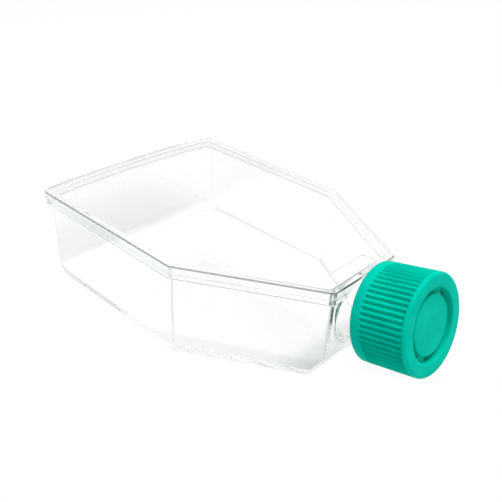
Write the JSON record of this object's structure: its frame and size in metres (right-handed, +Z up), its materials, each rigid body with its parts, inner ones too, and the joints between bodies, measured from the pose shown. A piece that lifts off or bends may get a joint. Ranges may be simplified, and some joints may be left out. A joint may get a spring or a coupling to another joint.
{
  "type": "cell culture flask",
  "caption": "Flat clear culture flask with tapering shoulders, a canted neck and a ribbed, vented screw cap.",
  "frame": {"origin": "middle of the body's length, on the flat underside of the base", "axes": "+X from the rear wall towards the neck, +Y across the flask, +Z up out of the growth base; the XZ plane is the plane of symmetry"},
  "size_m": [0.1479, 0.085, 0.0436],
  "materials": {
    "clear_polystyrene": "polished, clear",
    "teal_cap": "satin, moulded",
    "white_membrane": "matt, finely woven"
  },
  "bodies": {
    "flask": {"flask_tray": "clear_polystyrene", "top_plate": "clear_polystyrene"},
    "vent": {"vent_membrane": "white_membrane"},
    "cap": {"screw_cap": "teal_cap"}
  },
  "joints": [
    {"name": "cap_lift", "type": "slide", "parent": "flask", "child": "vent", "axis": [0.9703, 0, 0.2419], "range_m": [0, 0.006]},
    {"name": "cap_turn", "type": "hinge", "parent": "vent", "child": "cap", "pos_m": [0.0573, 0, 0.0216], "axis": [0.9703, 0, 0.2419], "range_deg": [0, 540]}
  ],
  "couplings": [
    {"joint": "cap_lift", "follows": "cap_turn", "m_per_rad": 0.0006366}
  ]
}
